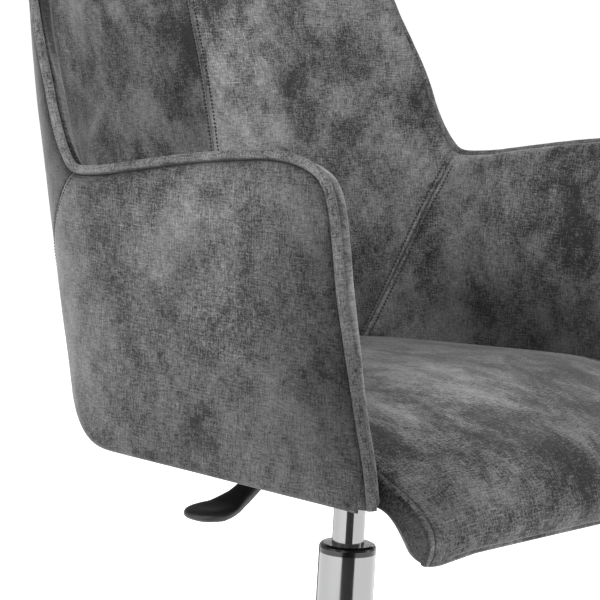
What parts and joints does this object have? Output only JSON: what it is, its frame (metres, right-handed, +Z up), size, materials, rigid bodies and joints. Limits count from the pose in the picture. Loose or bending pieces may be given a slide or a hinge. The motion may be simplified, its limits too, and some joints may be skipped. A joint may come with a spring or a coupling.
{
  "type": "swivel office chair",
  "caption": "Upholstered tub-shell swivel chair with armrests, waterfall seat cushion, lever-operated gas lift and a five-star base on twin-wheel casters.",
  "frame": {"origin": "on the floor under the swivel axis of the column", "axes": "+Z up along the swivel axis, the sitter faces -Y, the sitter's left hand is on +X"},
  "size_m": [0.6443, 0.629, 0.8902],
  "materials": {
    "outer_fabric": "short-pile velvet weave",
    "inner_fabric": "short-pile velvet weave",
    "seat_fabric": "short-pile velvet weave",
    "piping_fabric": "short-pile velvet weave",
    "plywood": "raw plywood",
    "cambric": "non-woven",
    "black_steel": "black powder coat",
    "zinc_steel": "zinc plated",
    "chrome_tube": "polished",
    "chrome_base": "polished",
    "black_plastic": "satin moulded",
    "bump_rubber": "matt",
    "caster_plastic": "moulded nylon",
    "wheel_plastic": "moulded nylon"
  },
  "bodies": {
    "base": {"base_hub": "chrome_base", "base_legs": "chrome_base", "leg_end_sleeves": "black_plastic", "caster_stems": "zinc_steel", "outer_column_tube": "chrome_tube", "column_collar": "chrome_tube", "guide_bushing": "black_plastic", "bearing_lower_washer": "zinc_steel"},
    "spindle": {"piston_rod": "chrome_tube", "piston_head": "black_plastic", "bearing_upper_washer": "zinc_steel", "bearing_balls": "zinc_steel", "bump_stop": "bump_rubber", "retaining_clip": "zinc_steel"},
    "seat": {"outer_back_panel": "outer_fabric", "outer_arm_panel_left": "outer_fabric", "outer_arm_panel_right": "outer_fabric", "inner_back_pad_left": "inner_fabric", "inner_back_pad_right": "inner_fabric", "inner_arm_pad_left": "inner_fabric", "inner_arm_pad_right": "inner_fabric", "shell_frame": "plywood", "rim_piping": "piping_fabric", "seat_cushion": "seat_fabric", "seat_pan": "plywood", "dust_cover": "cambric", "seat_plate": "black_steel", "cone_socket": "zinc_steel", "plate_bolts": "zinc_steel", "tee_nuts": "zinc_steel", "lever_pivot_pin": "zinc_steel", "gas_cylinder": "chrome_tube", "cylinder_seal": "black_plastic"},
    "lever": {"lever_rod": "zinc_steel", "lever_paddle": "black_plastic"},
    "release": {"release_pin": "zinc_steel"},
    "caster_1": {"caster_hood_1": "caster_plastic", "caster_axle_1": "zinc_steel"},
    "wheel_1_left": {"caster_wheel_1_left": "wheel_plastic"},
    "wheel_1_right": {"caster_wheel_1_right": "wheel_plastic"},
    "caster_2": {"caster_hood_2": "caster_plastic", "caster_axle_2": "zinc_steel"},
    "wheel_2_left": {"caster_wheel_2_left": "wheel_plastic"},
    "wheel_2_right": {"caster_wheel_2_right": "wheel_plastic"},
    "caster_3": {"caster_hood_3": "caster_plastic", "caster_axle_3": "zinc_steel"},
    "wheel_3_left": {"caster_wheel_3_left": "wheel_plastic"},
    "wheel_3_right": {"caster_wheel_3_right": "wheel_plastic"},
    "caster_4": {"caster_hood_4": "caster_plastic", "caster_axle_4": "zinc_steel"},
    "wheel_4_left": {"caster_wheel_4_left": "wheel_plastic"},
    "wheel_4_right": {"caster_wheel_4_right": "wheel_plastic"},
    "caster_5": {"caster_hood_5": "caster_plastic", "caster_axle_5": "zinc_steel"},
    "wheel_5_left": {"caster_wheel_5_left": "wheel_plastic"},
    "wheel_5_right": {"caster_wheel_5_right": "wheel_plastic"}
  },
  "joints": [
    {"name": "seat_swivel", "type": "hinge", "parent": "base", "child": "spindle", "pos_m": [0, 0, 0.1], "axis": [0, 0, 1], "continuous": true},
    {"name": "seat_height", "type": "slide", "parent": "spindle", "child": "seat", "axis": [0, 0, 1], "range_m": [-0.04, 0.06]},
    {"name": "height_lever", "type": "hinge", "parent": "seat", "child": "lever", "pos_m": [-0.062, 0, 0.384], "axis": [0, 1, 0], "range_deg": [0, 6], "stiffness_Nm_per_rad": 0.6, "springref_deg": -8.59},
    {"name": "valve_pin", "type": "slide", "parent": "seat", "child": "release", "axis": [0, 0, -1], "range_m": [0, 0.0075]},
    {"name": "caster_1_swivel", "type": "hinge", "parent": "base", "child": "caster_1", "pos_m": [0, 0.305, 0.05], "axis": [0, 0, 1], "continuous": true},
    {"name": "wheel_1_left_spin", "type": "hinge", "parent": "caster_1", "child": "wheel_1_left", "pos_m": [-0.01879, 0.29816, 0.025], "axis": [0.342, -0.9397, 0], "continuous": true},
    {"name": "wheel_1_right_spin", "type": "hinge", "parent": "caster_1", "child": "wheel_1_right", "pos_m": [-0.01879, 0.29816, 0.025], "axis": [0.342, -0.9397, 0], "continuous": true},
    {"name": "caster_2_swivel", "type": "hinge", "parent": "base", "child": "caster_2", "pos_m": [-0.29007, 0.09425, 0.05], "axis": [0, 0, 1], "continuous": true},
    {"name": "wheel_2_left_spin", "type": "hinge", "parent": "caster_2", "child": "wheel_2_left", "pos_m": [-0.30239, 0.11001, 0.025], "axis": [-0.788, -0.6157, 0], "continuous": true},
    {"name": "wheel_2_right_spin", "type": "hinge", "parent": "caster_2", "child": "wheel_2_right", "pos_m": [-0.30239, 0.11001, 0.025], "axis": [-0.788, -0.6157, 0], "continuous": true},
    {"name": "caster_3_swivel", "type": "hinge", "parent": "base", "child": "caster_3", "pos_m": [-0.17927, -0.24675, 0.05], "axis": [0, 0, 1], "continuous": true},
    {"name": "wheel_3_left_spin", "type": "hinge", "parent": "caster_3", "child": "wheel_3_left", "pos_m": [-0.18612, -0.26554, 0.025], "axis": [0.9397, -0.342, 0], "continuous": true},
    {"name": "wheel_3_right_spin", "type": "hinge", "parent": "caster_3", "child": "wheel_3_right", "pos_m": [-0.18612, -0.26554, 0.025], "axis": [0.9397, -0.342, 0], "continuous": true},
    {"name": "caster_4_swivel", "type": "hinge", "parent": "base", "child": "caster_4", "pos_m": [0.17927, -0.24675, 0.05], "axis": [0, 0, 1], "continuous": true},
    {"name": "wheel_4_left_spin", "type": "hinge", "parent": "caster_4", "child": "wheel_4_left", "pos_m": [0.18445, -0.22743, 0.025], "axis": [-0.9659, 0.2588, 0], "continuous": true},
    {"name": "wheel_4_right_spin", "type": "hinge", "parent": "caster_4", "child": "wheel_4_right", "pos_m": [0.18445, -0.22743, 0.025], "axis": [-0.9659, 0.2588, 0], "continuous": true},
    {"name": "caster_5_swivel", "type": "hinge", "parent": "base", "child": "caster_5", "pos_m": [0.29007, 0.09425, 0.05], "axis": [0, 0, 1], "continuous": true},
    {"name": "wheel_5_left_spin", "type": "hinge", "parent": "caster_5", "child": "wheel_5_left", "pos_m": [0.27128, 0.10109, 0.025], "axis": [-0.342, -0.9397, 0], "continuous": true},
    {"name": "wheel_5_right_spin", "type": "hinge", "parent": "caster_5", "child": "wheel_5_right", "pos_m": [0.27128, 0.10109, 0.025], "axis": [-0.342, -0.9397, 0], "continuous": true}
  ],
  "couplings": [
    {"joint": "valve_pin", "follows": "height_lever", "m_per_rad": 0.064}
  ]
}
